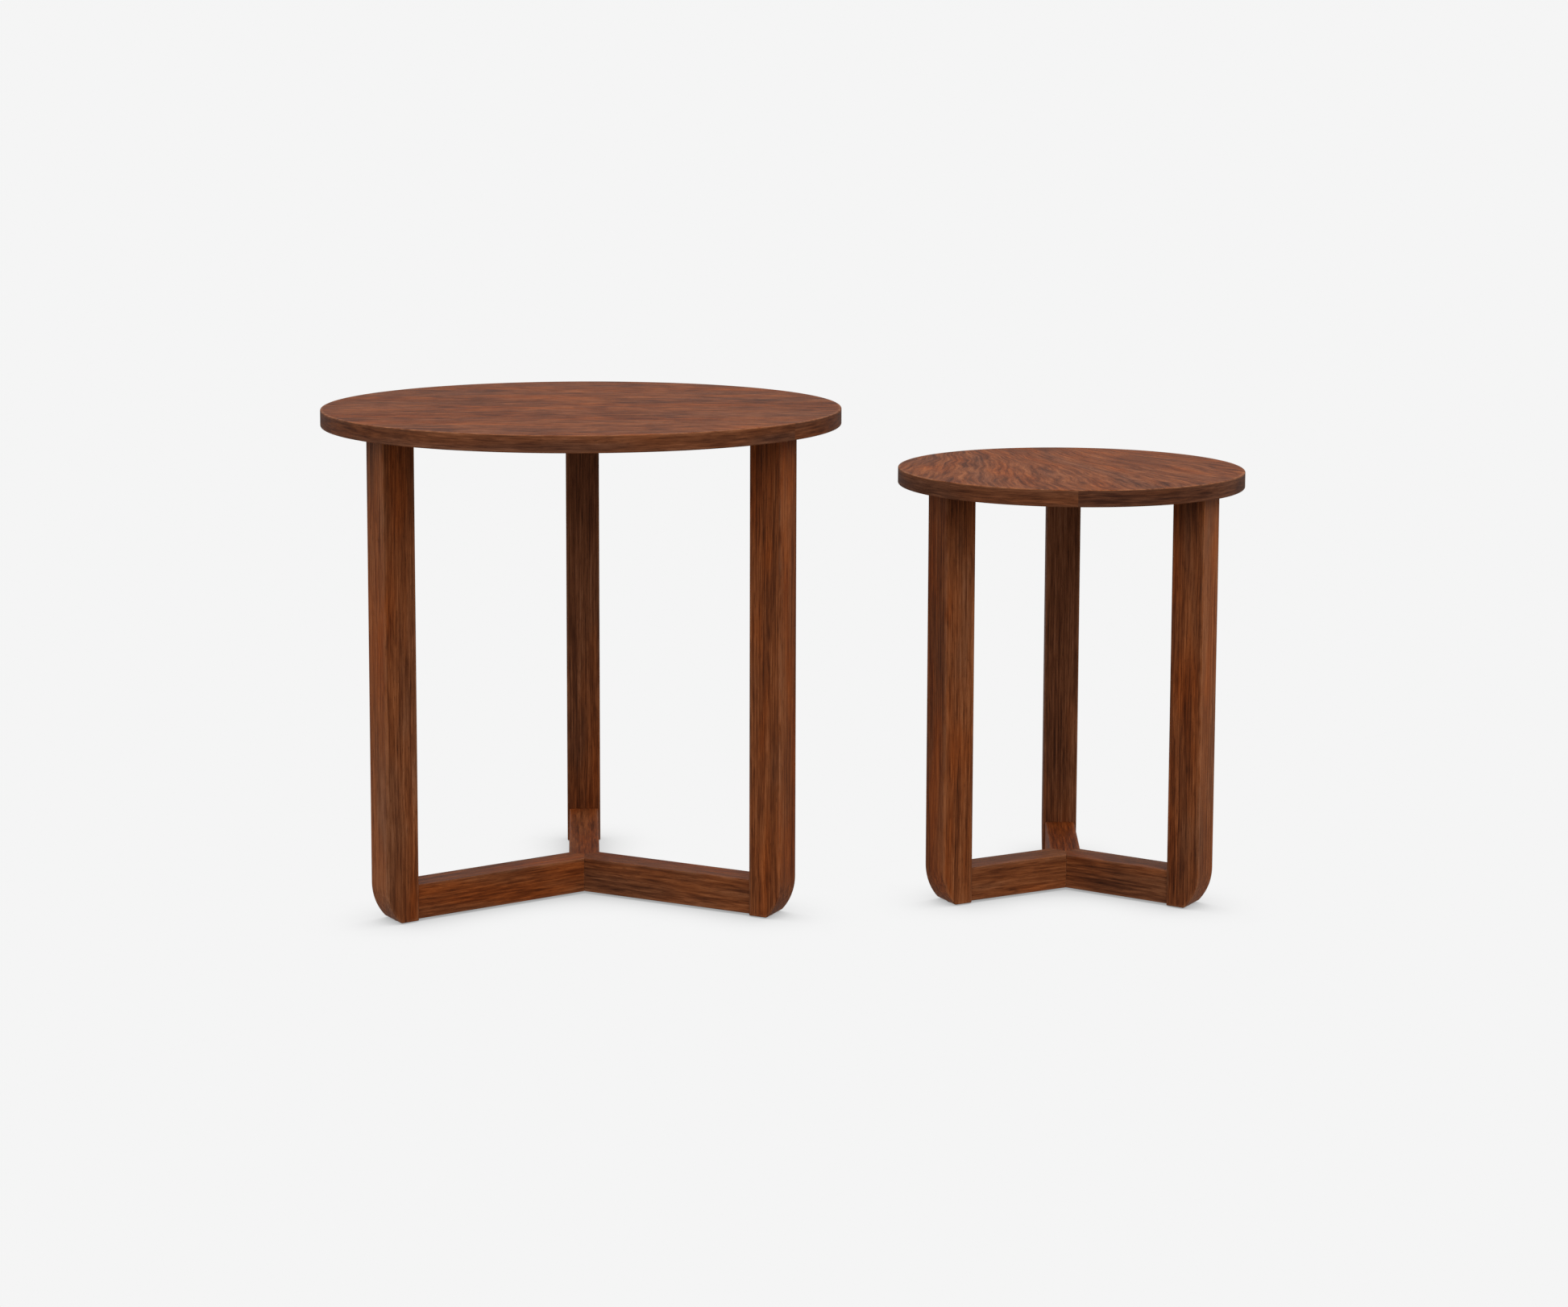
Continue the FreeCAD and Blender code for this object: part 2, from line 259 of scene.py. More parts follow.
# What the wood's own cast, its pores and its eased edges do to the colour; the edges
# are painted lighter, partly rubbed by use and partly a painted highlight.
ORANGE_HEART = (1.18, 0.96, 0.66, 1.0)
GREY_SAP = (0.84, 0.98, 1.26, 1.0)
PORE_COLOUR = (0.018, 0.0065, 0.0038, 1.0)
# Painted onto the eased edges: the colour of edges rubbed by use, which also stands in for a
# painted highlight.
RUBBED_AND_HIGHLIGHT_COLOUR = (0.36, 0.155, 0.075, 1.0)

# The fork that the small top's veneer was cut from: behind the top, left of its middle.
CROTCH_FORK = 0.42
CROTCH_CENTRE = 26.90
CROTCH_SPREAD = 0.42
CROTCH_SWIRL = 0.05

# What sets one cut of walnut apart from another. ring, streak, fibre, mottle, cloud and
# dash are how strongly each part of the figure shows, and the _cells are its noise
# cells a metre. The key for the eased edges says how strongly they are painted lighter,
# partly rubbed by use and partly a painted highlight.
SOLID = dict(
    stops=WALNUT_STOPS, tint=1.0, wear_and_highlight=0.30, pores=0.5, roughness=(0.42, 0.54), specular=0.05,
    wander=0.008, lean=0.035, fibre=0.80,
    ring=0.35, ring_cells=300.0,
    streak=1.45, streak_cells=(470.0, 470.0, 7.0),
    mottle=0.50, mottle_cells=(120.0, 120.0, 17.0),
    cloud=0.60, cloud_cells=(18.0, 18.0, 4.5),
    dash=0.18, dash_cells=(420.0, 420.0, 30.0),
)
ARM = dict(
    SOLID,
    streak=1.10, streak_cells=(330.0, 330.0, 15.0),
    mottle=0.60, mottle_cells=(130.0, 130.0, 28.0),
)
BAND = dict(
    SOLID, stops=BAND_STOPS, wear_and_highlight=0.22, wander=0.006, ring=0.25,
    streak=0.95, streak_cells=(330.0, 330.0, 22.0),
    mottle=0.50, mottle_cells=(110.0, 110.0, 30.0),
    dash=0.08,
)
VENEER = dict(
    SOLID, stops=VENEER_STOPS, tint=0.7, wear_and_highlight=0.55, roughness=(0.44, 0.56), specular=0.02,
    wander=0.016, lean=0.06, fibre=0.4,
    ring=0.50, ring_cells=330.0,
    streak=1.55, streak_cells=(150.0, 150.0, 28.0),
    mottle=0.75, mottle_cells=(26.0, 26.0, 14.0),
    cloud=0.35, cloud_cells=(9.0, 9.0, 7.0),
    dash=0.14, dash_cells=(120.0, 120.0, 80.0),
)
BACK_VENEER = dict(VENEER, mottle=0.5, wear_and_highlight=0.2)
CROTCH = dict(
    VENEER, wander=0.014,
    ring=0.05, ring_cells=120.0,
    streak=1.50, streak_cells=(230.0, 230.0, 14.0),
    mottle=0.90, mottle_cells=(90.0, 90.0, 16.0),
    cloud=0.30,
)

# What every cut shares: cells a metre, across, deep and along the grain.
WANDER_CELLS = (9.0, 9.0, 2.6)
LEAN_CELLS = 1.7
FIBRE_CELLS = (1500.0, 1500.0, 42.0)
TINT_CELLS = (31.0, 23.0, 5.0)
PORE_CELLS = (1900.0, 1900.0, 95.0)
RUB_AND_HIGHLIGHT_CELLS = (160.0, 160.0, 38.0)
SWIRL_CELLS = (7.0, 7.0, 7.0)
GRAIN_RELIEF = 0.12 * MM

# Where each effect sets in: its noise goes from the first value to the second.
DASH_RANGE = (0.58, 0.74)
WARM_RANGE = (0.50, 0.68)
COOL_RANGE = (0.50, 0.32)
# Patches along the eased edges that are painted lighter, partly rubbed by use and partly a painted
# highlight, and how much glossier the rubbed edges are.
RUB_AND_HIGHLIGHT_RANGE = (0.34, 0.66)
RUB_AND_HIGHLIGHT_POWER = 1.6
RUB_POLISH = 0.10

# Pores open where their noise passes a level, which falls as the streaks get lighter.
PORE_STREAKS = (0.35, 0.65)
PORE_LEVELS = (0.69, 0.62)
PORE_FADE = 0.05
PORE_ROUGHNESS = 0.18
PORE_DEPTH = 0.5


def walnut(name, look, figure=None):
    """Lacquered walnut: rings, streaks, fibres, pores, clouds of tone, and eased edges painted
    lighter, partly rubbed by use and partly a painted highlight.
    """
    n = Nodes(bpy.data.materials.new(name))
    place = n.attribute("wood")
    edge = n.attribute("edge", "Fac")
    # tone carries the board's own tone and, on the legs' outer faces, partly a painted sheen and
    # side light.
    tone = n.attribute("tone", "Fac")
    cast = n.attribute("cast", "Fac")
    if figure:
        place = figure(n, place)

    # The grain wanders, so that nothing runs dead straight.
    slow = n.noise(place, WANDER_CELLS, detail=2.0, output="Color")
    shift = n.vector("MULTIPLY", n.vector("SUBTRACT", slow, (0.5, 0.5, 0.5)), (look["wander"],) * 3)
    place = n.vector("ADD", place, shift)
    x, y, z = n.split(place)

    # Rings about the pith, which leans so that faces cut them in arches.
    lean = n.math("MULTIPLY", n.math("SUBTRACT", n.noise_line(z, LEAN_CELLS), 0.5), look["lean"])
    around = n.length(n.combine(n.math("ADD", x, lean), y, 0.0))
    ring = n.noise_line(around, look["ring_cells"], detail=3.0, roughness=0.6)

    streak = n.noise(place, look["streak_cells"], detail=3.0, roughness=0.6)
    fibre = n.noise(place, FIBRE_CELLS, detail=2.0)
    mottle = n.noise(place, look["mottle_cells"], detail=4.0, roughness=0.6, distortion=0.6)
    cloud = n.noise(place, look["cloud_cells"], detail=1.0)
    dash = n.noise(place, look["dash_cells"], detail=1.0, distortion=0.3)
    tint = n.math("ADD", n.noise(place, TINT_CELLS, detail=2.0), cast)

    terms = [(ring, look["ring"]), (streak, look["streak"]), (fibre, look["fibre"])]
    terms += [(mottle, look["mottle"]), (cloud, look["cloud"])]
    value = n.math("ADD", n.total(*terms), tone)
    value = n.math("SUBTRACT", value, n.ranged(dash, *DASH_RANGE, 0.0, look["dash"]))
    colour = n.ramp(value, look["stops"])
    warm = n.ranged(tint, *WARM_RANGE, 0.0, look["tint"], smooth=True)
    cool = n.ranged(tint, *COOL_RANGE, 0.0, look["tint"], smooth=True)
    colour = n.mix(warm, colour, n.mix(1.0, colour, ORANGE_HEART, "MULTIPLY"))
    colour = n.mix(cool, colour, n.mix(1.0, colour, GREY_SAP, "MULTIPLY"))

    # Short dark pores, filled by the finish but still a little open.
    pore_noise = n.noise(place, PORE_CELLS, detail=1.0)
    crowd = n.ranged(streak, *PORE_STREAKS, *PORE_LEVELS)
    pore = n.ranged(n.math("SUBTRACT", pore_noise, crowd), 0.0, PORE_FADE)
    colour = n.mix(n.math("MULTIPLY", pore, look["pores"]), colour, PORE_COLOUR)

    # Eased edges are painted lighter, in patches: partly rubbed by use, partly a painted
    # highlight along the rims.
    rub_and_highlight = n.ranged(n.noise(place, RUB_AND_HIGHLIGHT_CELLS, detail=3.0), *RUB_AND_HIGHLIGHT_RANGE)
    eased = n.math("POWER", edge, RUB_AND_HIGHLIGHT_POWER)
    marked = n.math("MULTIPLY", n.math("MULTIPLY", eased, rub_and_highlight), look["wear_and_highlight"])
    colour = n.mix(marked, colour, RUBBED_AND_HIGHLIGHT_COLOUR)

    gloss_low, gloss_high = look["roughness"]
    rough = n.ranged(n.total((mottle, 0.8), (fibre, 0.8)), 0.2, 0.8, gloss_low, gloss_high)
    rough = n.math("ADD", rough, n.math("MULTIPLY", pore, PORE_ROUGHNESS))
    rough = n.math("SUBTRACT", rough, n.math("MULTIPLY", marked, RUB_POLISH), clamp=True)
    height = n.total((streak, 0.35), (fibre, 0.5), (ring, 0.2))
    height = n.math("SUBTRACT", height, n.math("MULTIPLY", pore, PORE_DEPTH))
    normal = n.bump(height, GRAIN_RELIEF, 0.7)
    specular = look["specular"]
    return n.surface(Base_Color=colour, Roughness=rough, Normal=normal, Specular_IOR_Level=specular)


def crotch_figure(n, place):
    """Turns the small top's veneer into a crotch: the grain fans out from a fork at the back."""
    x, y, z = n.split(place)
    swirl = n.noise(place, SWIRL_CELLS, detail=2.0, output="Color")
    swirl = n.vector("MULTIPLY", n.vector("SUBTRACT", swirl, (0.5,) * 3), (CROTCH_SWIRL,) * 3)
    swirl_x, _, swirl_z = n.split(swirl)
    side = n.math("ADD", n.math("SUBTRACT", z, CROTCH_CENTRE), swirl_z)
    ahead = n.math("SUBTRACT", CROTCH_FORK, n.math("ADD", x, swirl_x))
    fan = n.math("ARCTAN2", side, ahead)
    reach = n.length(n.combine(side, ahead, 0.0))
    return n.combine(n.math("MULTIPLY", fan, CROTCH_SPREAD), y, reach)


def joint_wood(name):
    """Pale beech for the dowels and tenons: fine straight flecks."""
    n = Nodes(bpy.data.materials.new(name))
    place = n.own_place()
    fleck = n.noise(place, (900.0, 900.0, 260.0), detail=3.0)
    cloud = n.noise(place, (60.0, 60.0, 60.0), detail=2.0)
    value = n.total((fleck, 1.1), (cloud, 0.8))
    colour = n.ramp(value, BEECH_STOPS)
    rough = n.ranged(fleck, 0.3, 0.7, 0.55, 0.72)
    normal = n.bump(fleck, 0.08 * MM)
    return n.surface(Base_Color=colour, Roughness=rough, Normal=normal, Specular_IOR_Level=0.3)


def core_board(name):
    """Fibreboard: pressed brown fibres, flecked and slightly hairy."""
    n = Nodes(bpy.data.materials.new(name))
    place = n.own_place()
    fibres = n.noise(place, (1300.0, 1300.0, 700.0), detail=3.0, roughness=0.7)
    cloud = n.noise(place, (40.0, 40.0, 160.0), detail=2.0)
    value = n.total((fibres, 1.2), (cloud, 0.6))
    colour = n.ramp(value, BOARD_STOPS)
    rough = n.ranged(fibres, 0.3, 0.7, 0.72, 0.9)
    normal = n.bump(fibres, 0.15 * MM)
    return n.surface(Base_Color=colour, Roughness=rough, Normal=normal, Specular_IOR_Level=0.25)


def zinc_steel(name):
    """Zinc-plated steel: bright crystals, cloudy gloss, fine rolling scratches."""
    n = Nodes(bpy.data.materials.new(name))
    place = n.own_place()
    cells = n.add("ShaderNodeTexVoronoi", {"Vector": place, "Scale": 420.0}).outputs["Color"]
    grey = n.split(cells)[0]
    scratch = n.noise(place, (220.0, 2600.0, 220.0), detail=2.0)
    cloud = n.noise(place, (90.0, 90.0, 90.0), detail=3.0)
    value = n.total((grey, 0.25), (cloud, 0.8), (scratch, 0.3))
    colour = n.ramp(value, ZINC_STOPS)
    rough = n.ranged(n.total((cloud, 0.8), (scratch, 0.6)), 0.2, 0.8, 0.28, 0.46)
    normal = n.bump(n.total((scratch, 0.6), (cloud, 0.5)), 0.05 * MM, 0.6)
    return n.surface(Base_Color=colour, Roughness=rough, Metallic=1.0, Normal=normal)


def glide_nylon(name):
    """Moulded brown nylon, scuffed grey where it slides."""
    n = Nodes(bpy.data.materials.new(name))
    place = n.own_place()
    grain = n.noise(place, (1800.0, 1800.0, 1800.0), detail=2.0)
    scuff = n.noise(place, (160.0, 900.0, 300.0), detail=3.0)
    height = n.split(place)[2]
    low = n.ranged(height, 0.0, SCUFF_HEIGHT, 1.0, 0.0)
    colour = n.ramp(n.total((grain, 0.5), (scuff, 0.4)), NYLON_STOPS)
    marked = n.math("MULTIPLY", low, n.ranged(scuff, 0.45, 0.7))
    colour = n.mix(marked, colour, SCUFF_COLOUR)
    rough = n.ranged(n.total((grain, 0.6), (scuff, 0.6)), 0.2, 0.8, 0.42, 0.62)
    return n.surface(Base_Color=colour, Roughness=rough, Normal=n.bump(grain, 0.05 * MM, 0.5))


MATERIALS = {
    "large_top_veneer": walnut("large_top_veneer", VENEER),
    "small_top_veneer": walnut("small_top_veneer", CROTCH, crotch_figure),
    "back_veneer": walnut("back_veneer", BACK_VENEER),
    "edge_band": walnut("edge_band", BAND),
    "leg_wood": walnut("leg_wood", SOLID),
    "stretcher_wood": walnut("stretcher_wood", ARM),
    "joint_wood": joint_wood("joint_wood"),
    "core_board": core_board("core_board"),
    "zinc_steel": zinc_steel("zinc_steel"),
    "glide_nylon": glide_nylon("glide_nylon"),
}


# =============================================================================
# Boards
# =============================================================================
def finish_board(bm, node, matrix, grain, slot, body, material=None):
    """Makes a board's object from its mesh, with its attributes, and ties it to the frame.

    grain turns a place in the board's own frame into (across, deep, along). The
    material is the slot's own, unless one is named.
    """
    board = BOARDS[node]
    mesh = bpy.data.meshes.new(node + "_board")
    bmesh.ops.recalc_face_normals(bm, faces=bm.faces)
    bm.normal_update()
    for crease in bm.edges:
        crease.smooth = crease.calc_face_angle(0.0) < SHARP_ANGLE
    edge_layer = bm.verts.layers.float["edge"]
    edges = [vert[edge_layer] for vert in bm.verts]
    places = [grain(vert.co) for vert in bm.verts]
    # outer paints a leg's outer face lighter: partly the board's own tone, partly a painted sheen
    # and the side light falling on that face.
    outer = board.get("outer", 0.0)
    tones = [board["tone"] + outer * max(vert.normal.x, 0.0) for vert in bm.verts]
    low_cast, high_cast = board.get("cast", (0.0, 0.0))
    lengths = [place.z for place in places]
    casts = np.interp(lengths, (min(lengths), max(lengths)), (low_cast, high_cast))
    bm.verts.layers.float.remove(edge_layer)
    bm.to_mesh(mesh)
    bm.free()
    for polygon in mesh.polygons:
        polygon.use_smooth = True
    offset = Vector(board["log"])
    wood = mesh.attributes.new("wood", "FLOAT_VECTOR", "POINT")
    wood.data.foreach_set("vector", np.array([place + offset for place in places]).ravel())
    for name, values in (("edge", edges), ("tone", tones), ("cast", casts)):
        mesh.attributes.new(name, "FLOAT", "POINT").data.foreach_set("value", values)
    mesh.materials.append(MATERIALS[material or slot])
    mesh.transform(matrix)
    piece = bpy.data.objects.new(node + "_board", mesh)
    bpy.context.scene.collection.objects.link(piece)
    weighted = piece.modifiers.new("weighted_normals", "WEIGHTED_NORMAL")
    weighted.keep_sharp = True
    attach(piece, body)
    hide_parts(node)
    return piece


def grain_along_z(co):
    """Grain that runs up the piece."""
    return Vector((co.x, co.y, co.z))


def grain_along_x(co):
    """Grain that runs along the piece's own X."""
    return Vector((co.z, co.y, co.x))


def new_bmesh():
    """An empty mesh whose vertices hold an edge value."""
    bm = bmesh.new()
    bm.verts.layers.float.new("edge")
    return bm


def rounded_section(low_a, high_a, low_b, high_b, radius):
    """A rounded rectangle, as (a, b, edge value) points, with a fade beside each corner."""
    section = []
    corners = ((high_a - radius, high_b - radius), (low_a + radius, high_b - radius),
               (low_a + radius, low_b + radius), (high_a - radius, low_b + radius))
    for quarter, (centre_a, centre_b) in enumerate(corners):
        start = quarter * math.pi / 2
        arc = []
        for i in range(ROUND_STEPS + 1):
            turn = start + math.pi / 2 * i / ROUND_STEPS
            out_a, out_b = radius * math.cos(turn), radius * math.sin(turn)
            arc.append((centre_a + out_a, centre_b + out_b, 1.0))
        along_a, along_b = -math.sin(start), math.cos(start)
        before = (arc[0][0] - along_a * EDGE_FADE, arc[0][1] - along_b * EDGE_FADE, 0.0)
        after = (arc[-1][0] - along_b * EDGE_FADE, arc[-1][1] + along_a * EDGE_FADE, 0.0)
        section += [before] + arc + [after]
    return section


def add_ring(bm, section, value, place):
    """Vertices round a section; place(a, b) puts a point, and value lifts the edge values."""
    layer = bm.verts.layers.float["edge"]
    ring = []
    for a, b, eased in section:
        vert = bm.verts.new(place(a, b))
        vert[layer] = max(value, eased)
        ring.append(vert)
    return ring


def join_rings(bm, rings):
    """Faces between each ring and the next."""
    count = len(rings[0])
    for near, far in zip(rings, rings[1:]):
        for i in range(count):
            j = (i + 1) % count
            bm.faces.new((near[i], near[j], far[j], far[i]))


# ---- Legs --------------------------------------------------------------------
def heel_place(rise):
    """How far out the leg's outer face is, at a height above the floor."""
    inset = LEG_DEPTH - FOOT_FLAT
    radius = (FOOT_RISE**2 + inset**2) / (2 * inset)
    below = max(FOOT_RISE - rise, 0.0)
    return LEG_DEPTH - radius + math.sqrt(radius**2 - below**2)


def make_leg(table, side):
    """One leg: a rounded square section that tapers at the heel, its foot eased all round."""
    node = f"{table.name}_leg_{side}"
    low, top = (corner.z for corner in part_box(node))
    half = LEG_WIDTH / 2
    bm = new_bmesh()
    rings = []

    def add_level(rise, shrink, value):
        radius = LEG_ROUND - shrink
        outer = heel_place(rise) - shrink
        section = rounded_section(shrink, outer, shrink - half, half - shrink, radius)
        rings.append(add_ring(bm, section, value, lambda a, b: Vector((a, b, low + rise))))

    # The foot starts a little way up its rounding, where its corners still have a radius.
    first = math.pi / 2 / (2 * ROUND_STEPS)
    for i in range(ROUND_STEPS + 1):
        turn = first + (math.pi / 2 - first) * i / ROUND_STEPS
        rise = LEG_ROUND * (math.cos(first) - math.cos(turn))
        add_level(rise, LEG_ROUND * (1 - math.sin(turn)), 1.0)
    start = LEG_ROUND + EDGE_FADE
    for i in range(FOOT_STEPS + 1):
        add_level(start + (FOOT_RISE - start) * i / FOOT_STEPS, 0.0, 0.0)
    add_level(top - low, 0.0, 0.0)
    join_rings(bm, rings)
    bm.faces.new(list(reversed(rings[0])))
    bm.faces.new(rings[-1])
    matrix = table.matrix(LEG_ANGLES[side], table.leg_inner)
    return finish_board(bm, node, matrix, grain_along_z, "leg_wood", table.body)


# ---- Stretchers --------------------------------------------------------------
def make_arm(table, side):
    """One stretcher arm, pointed at the hub, its edges eased."""
    node = f"{table.name}_stretcher_{side}"
    low, high = (corner.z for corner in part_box(node))
    half = ARM_WIDTH / 2
    middle = (low + high) / 2
    section = rounded_section(-half, half, low, high, ARM_ROUND)
    # A point more in the middle of the top and of the bottom, for the edge of the mitre.
    quarter = len(section) // 4
    top, bottom = quarter, 3 * quarter + 1
    section.insert(top, (0.0, high, 0.0))
    section.insert(bottom, (0.0, low, 0.0))
    shrink_a = 1.0 - MITRE_ROUND / half
    shrink_b = 1.0 - MITRE_ROUND / (high - middle)

    def on_mitre(a, b, out):
        return Vector((abs(a) / math.tan(MITRE_ANGLE) + out, a, b))

    def on_tip(a, b):
        return on_mitre(a * shrink_a, middle + (b - middle) * shrink_b, 0.0)

    bm = new_bmesh()
    rings = [
        add_ring(bm, section, 1.0, on_tip),
        add_ring(bm, section, 1.0, lambda a, b: on_mitre(a, b, MITRE_ROUND)),
        add_ring(bm, section, 0.0, lambda a, b: on_mitre(a, b, MITRE_FADE)),
        add_ring(bm, section, 0.0, lambda a, b: Vector((table.leg_inner, a, b))),
    ]
    join_rings(bm, rings)
    tip = rings[0]
    bm.faces.new(tip[top:bottom + 1])
    bm.faces.new(tip[bottom:] + tip[:top + 1])
    bm.faces.new(list(reversed(rings[-1])))
    matrix = table.matrix(LEG_ANGLES[side], 0.0)
    return finish_board(bm, node, matrix, grain_along_x, "stretcher_wood", table.body)


# ---- Tops --------------------------------------------------------------------
def rim_point(radius, high, turn):
    """A point (r, z) on the rounded rim; turn is 0 on the flat and a right angle on the side."""
    centre_r, centre_z = radius - RIM_ROUND, high - RIM_ROUND
    return centre_r + RIM_ROUND * math.sin(turn), centre_z + RIM_ROUND * math.cos(turn)


def veneer_turn(thickness):
    """How far round the rim the veneer reaches before the band takes over."""
    return math.acos((RIM_ROUND - thickness) / RIM_ROUND)


def turned_about(bm, profile, values, degrees, steps):
    """Turns a closed profile of (r, z) points about Z. r = 0 makes one vertex.

    values are the points' edge values.
    """
    layer = bm.verts.layers.float["edge"]
    whole = degrees == FULL_TURN
    count = steps if whole else steps + 1
    rings = []
    for (r, z), value in zip(profile, values):
        ring = []
        for i in range(1 if r == 0.0 else count):
            angle = math.radians(degrees) * i / steps
            vert = bm.verts.new((r * math.cos(angle), r * math.sin(angle), z))
            vert[layer] = value
            ring.append(vert)
        rings.append(ring)
    closed = profile[0][0] > 0.0
    pairs = list(zip(rings, rings[1:]))
    if closed:
        pairs.append((rings[-1], rings[0]))
    for a, b in pairs:
        for i in range(steps):
            j = (i + 1) % count if whole else i + 1
            corners = [a[i % len(a)], a[j % len(a)], b[j % len(b)], b[i % len(b)]]
            face = list(dict.fromkeys(corners))
            if len(face) > 2:
                bm.faces.new(face)
    if closed and not whole:
        for i in (0, -1):
            bm.faces.new([ring[i] for ring in rings])


def grain_of_veneer(co):
    """Grain that runs from left to right."""
    return Vector((co.y, co.z, co.x))


def make_veneer(table, which):
    """A face or back veneer: a thin disc whose rim is rounded over."""
    node = f"{table.name}_{which}_veneer"
    low, high = (corner.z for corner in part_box(node))
    up = 1.0 if which == "face" else -1.0
    outside, inside = (high, low) if which == "face" else (low, high)
    thickness = high - low
    reach = veneer_turn(thickness)
    profile = [(table.radius * share, outside) for share in FACE_RINGS]
    profile.append((table.radius - RIM_ROUND - EDGE_FADE, outside))
    values = [0.0] * len(profile)
    for i in range(ROUND_STEPS + 1):
        r, z = rim_point(table.radius, 0.0, reach * i / ROUND_STEPS)
        profile.append((r, outside + up * z))
        values.append(1.0)
    profile.append((0.0, inside))
    values.append(0.0)
    bm = new_bmesh()
    turned_about(bm, profile, values, FULL_TURN, TURN_STEPS)
    material = f"{table.name}_top_veneer" if which == "face" else "back_veneer"
    slot = "top_veneer" if which == "face" else "back_veneer"
    matrix = table.matrix(0.0, 0.0, yawed=False)
    return finish_board(bm, node, matrix, grain_of_veneer, slot, table.body, material)


def make_band(table, number):
    """One length of the edge band, bent round the core, with its share of the rounded rim."""
    node = f"{table.name}_edge_band_{number}"
    low, high = (corner.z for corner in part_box(node))
    thickness = table.top - high
    inner = table.radius - BAND_WIDTH
    start = veneer_turn(thickness)
    arc = [start + (math.pi / 2 - start) * i / ROUND_STEPS for i in range(ROUND_STEPS + 1)]
    upper = [rim_point(table.radius, table.top, turn) for turn in arc]
    lower = [(r, low + high - z) for r, z in reversed(upper)]
    fades = [(table.radius, upper[-1][1] - EDGE_FADE), (table.radius, lower[0][1] + EDGE_FADE)]
    profile = [(inner, low), (inner, high)] + upper + fades + lower
    values = [0.0, 0.0] + [1.0] * len(upper) + [0.0, 0.0] + [1.0] * len(lower)
    span = FULL_TURN / BAND_COUNT
    bm = new_bmesh()
    turned_about(bm, profile, values, span, TURN_STEPS // BAND_COUNT)

    def grain(co):
        around = math.atan2(co.y, co.x) % math.tau
        return Vector((co.z, math.hypot(co.x, co.y) - table.radius, around * table.radius))

    turn = BAND_SEAMS[table.name] + (number - 1) * span
    matrix = table.matrix(turn, 0.0, yawed=False)
    return finish_board(bm, node, matrix, grain, "edge_band", table.body)


# ---- Tables ------------------------------------------------------------------
class Table:
    """One table's place and sizes, read from the frame."""

    def __init__(self, name):
        low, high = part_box(f"{name}_face_veneer")
        self.name = name
        self.body = f"{name}_table"
        self.centre = (low + high) / 2
        self.top = high.z
        reach = [abs(corner[i] - self.centre[i]) for b in range(BAND_COUNT)
                 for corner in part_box(f"{name}_edge_band_{b + 1}") for i in (0, 1)]
        self.radius = max(reach)
        leg_low, leg_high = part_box(f"{name}_leg_rear")
        across = (leg_low + leg_high) / 2 - self.centre
        self.yaw = math.degrees(math.atan2(across.y, across.x)) - LEG_ANGLES["rear"]
        self.leg_inner = math.hypot(across.x, across.y) - LEG_DEPTH / 2

    def matrix(self, angle, out, yawed=True):
        """The frame of a piece at an angle about the table's centre, moved out along its own X."""
        turn = math.radians(angle + (self.yaw if yawed else 0.0))
        place = Matrix.Translation((self.centre.x, self.centre.y, 0.0))
        return place @ Matrix.Rotation(turn, 4, "Z") @ Matrix.Translation((out, 0.0, 0.0))


def build_table(name):
    """Makes every visible board of one table."""
    table = Table(name)
    for which in ("face", "back"):
        make_veneer(table, which)
    for number in range(1, BAND_COUNT + 1):
        make_band(table, number)
    for side in LEG_ANGLES:
        make_leg(table, side)
        make_arm(table, side)


def dress_cad_nodes():
    """Gives the CAD pieces that stay their materials."""
    kept = {
        "top_core": "core_board",
        "hub_tenons": "joint_wood",
        "stretcher_dowels": "joint_wood",
        "fixing_plate": "zinc_steel",
        "screws": "zinc_steel",
        "pins": "zinc_steel",
        "glide": "glide_nylon",
    }
    for node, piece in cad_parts.items():
        if piece.hide_render:
            continue
        slot = next(slot for word, slot in kept.items() if word in node)
        piece.data.materials.clear()
        piece.data.materials.append(MATERIALS[slot])


for table_name in ("large", "small"):
    build_table(table_name)
dress_cad_nodes()

# =============================================================================
# Floor, light and camera
# =============================================================================
PAPER = (0.913, 0.913, 0.913, 1.0)
FLOOR_SIZE = 80.0
# How strongly the floor lights the tables from below, and in what colour.
FLOOR_BOUNCE = 0.35
BOUNCE_COLOUR = (1.0, 0.985, 0.97, 1.0)
PAPER_CELLS = (600.0, 600.0, 600.0)
PAPER_GRAIN = 0.002
# How far away wood still shades the floor.
CONTACT_REACH = 0.095
CONTACT_RAYS = 16
# How light the floor is, by how open it is to the air above it.
CONTACT_SHADE = [(0.0, 0.36), (0.40, 0.66), (0.68, 0.86), (0.86, 0.965), (0.95, 1.0)]


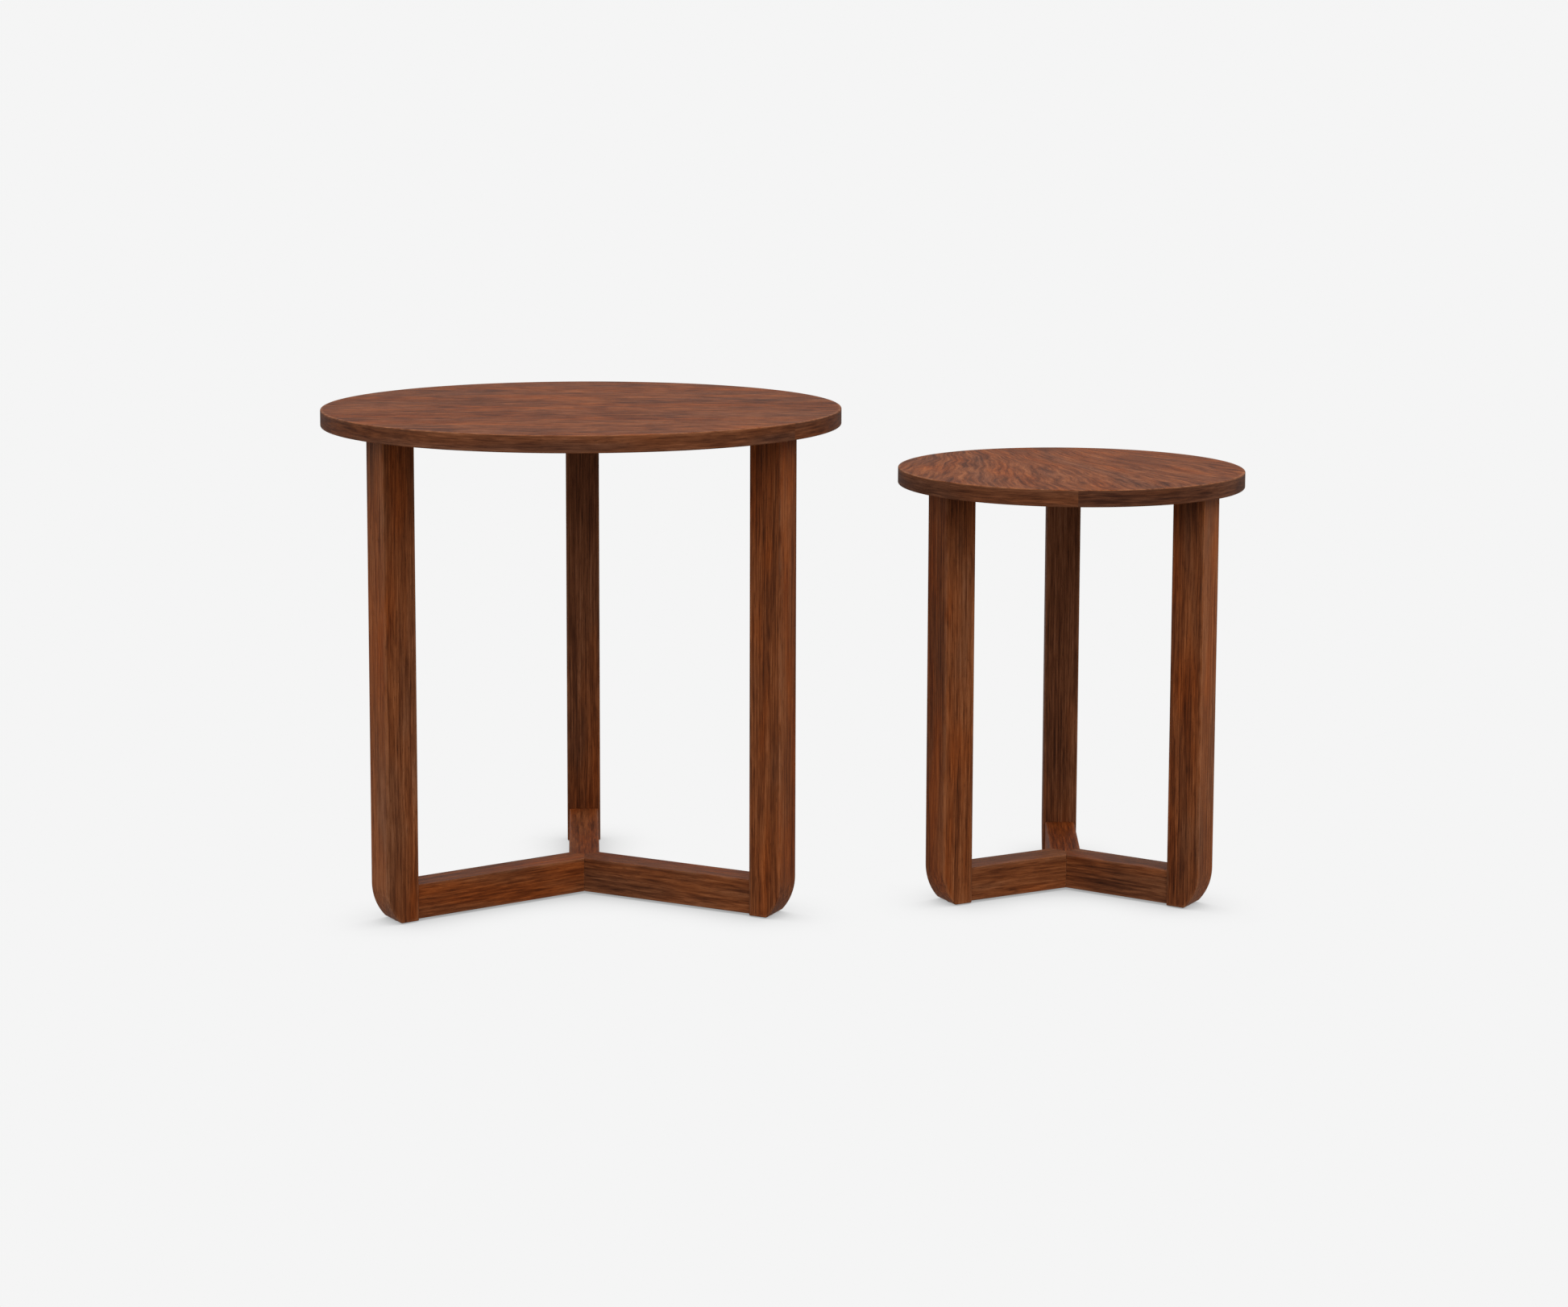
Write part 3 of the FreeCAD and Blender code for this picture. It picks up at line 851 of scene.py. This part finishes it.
def make_floor():
    """A pale sweep that meets the backdrop without a line, with soft contact shadows."""
    bpy.ops.mesh.primitive_plane_add(size=FLOOR_SIZE)
    floor = bpy.context.object
    floor.name = "floor"
    n = Nodes(bpy.data.materials.new("floor_paper"))
    grain = n.noise(n.own_place(), PAPER_CELLS)
    reach = {"Distance": CONTACT_REACH}
    near = n.add("ShaderNodeAmbientOcclusion", reach, samples=CONTACT_RAYS).outputs["AO"]
    shade = n.split(n.ramp(near, [(place, (light,) * 3) for place, light in CONTACT_SHADE]))[0]
    shade = n.math("ADD", shade, n.math("MULTIPLY", n.math("SUBTRACT", grain, 0.5), PAPER_GRAIN))
    seen = n.add("ShaderNodeEmission", {"Color": PAPER, "Strength": shade}).outputs[0]
    glow = {"Color": BOUNCE_COLOUR, "Strength": FLOOR_BOUNCE}
    bounce = n.add("ShaderNodeEmission", glow).outputs[0]
    direct = n.add("ShaderNodeLightPath").outputs["Is Camera Ray"]
    front = n.add("ShaderNodeMixShader", {0: direct, 1: bounce, 2: seen}).outputs[0]
    under = n.add("ShaderNodeBsdfTransparent").outputs[0]
    back = n.add("ShaderNodeNewGeometry").outputs["Backfacing"]
    both = n.add("ShaderNodeMixShader", {0: back, 1: front, 2: under}).outputs[0]
    n.add("ShaderNodeOutputMaterial", {"Surface": both})
    floor.data.materials.append(n.owner)


# How strong the dome is overhead and at the horizon.
DOME_COLOUR = (1.0, 1.0, 1.0, 1.0)
DOME_ZENITH = 1.50
DOME_HORIZON = 0.30


def make_world():
    """A soft studio dome, brighter overhead, behind an even pale backdrop."""
    world = bpy.data.worlds.new("studio")
    bpy.context.scene.world = world
    n = Nodes(world)
    direction = n.split(n.add("ShaderNodeTexCoord").outputs["Generated"])
    strength = n.ranged(direction[2], 0.0, 1.0, DOME_HORIZON, DOME_ZENITH)
    dome = n.add("ShaderNodeBackground", {"Color": DOME_COLOUR, "Strength": strength}).outputs[0]
    backdrop = n.add("ShaderNodeBackground", {"Color": PAPER, "Strength": 1.0}).outputs[0]
    seen = n.add("ShaderNodeLightPath").outputs["Is Camera Ray"]
    mixed = n.add("ShaderNodeMixShader", {0: seen, 1: dome, 2: backdrop}).outputs[0]
    n.add("ShaderNodeOutputWorld", {"Surface": mixed})


LIGHT_AIM = Vector((0.0, 0.0, 0.3))
LIGHTS = {
    "key": dict(place=(1.6, -2.2, 2.2), size=1.6, watts=24.0),
    "fill": dict(place=(-2.5, -2.0, 1.3), size=1.8, watts=15.0),
}


def soft_box(name, place, size, watts):
    """A square soft light that points at the tables."""
    data = bpy.data.lights.new(name, "AREA")
    data.shape = "SQUARE"
    data.size = size
    data.energy = watts
    light = bpy.data.objects.new(name, data)
    bpy.context.scene.collection.objects.link(light)
    light.location = place
    light.rotation_mode = "QUATERNION"
    light.rotation_quaternion = (LIGHT_AIM - Vector(place)).to_track_quat("-Z", "Y")


# Angles in radians, lens and sensor in millimetres, shift in widths of the picture.
CAMERA_PLACE = (-0.0015, -3.5227, 0.9503)
CAMERA_PITCH = 0.1136
CAMERA_ROLL = -0.0031
CAMERA_LENS = 69.12
CAMERA_SHIFT_Y = -0.1393
CAMERA_SENSOR = 36.0
CAMERA_FAR = 500.0


def make_camera():
    """Stands in front of the pair, a little above the tops, looking slightly down."""
    data = bpy.data.cameras.new("camera")
    data.sensor_width = CAMERA_SENSOR
    data.lens = CAMERA_LENS
    data.shift_y = CAMERA_SHIFT_Y
    data.clip_end = CAMERA_FAR
    camera = bpy.data.objects.new("camera", data)
    bpy.context.scene.collection.objects.link(camera)
    ahead = Vector((0.0, math.cos(CAMERA_PITCH), -math.sin(CAMERA_PITCH)))
    level = Vector((1.0, 0.0, 0.0))
    up = level.cross(ahead)
    right = level * math.cos(CAMERA_ROLL) - up * math.sin(CAMERA_ROLL)
    raised = level * math.sin(CAMERA_ROLL) + up * math.cos(CAMERA_ROLL)
    axes = Matrix((right, raised, -ahead)).transposed().to_4x4()
    camera.matrix_world = Matrix.Translation(CAMERA_PLACE) @ axes
    bpy.context.scene.camera = camera


make_floor()
make_world()
for light_name, light_settings in LIGHTS.items():
    soft_box(light_name, **light_settings)
make_camera()
bpy.context.scene.view_settings.view_transform = "Standard"
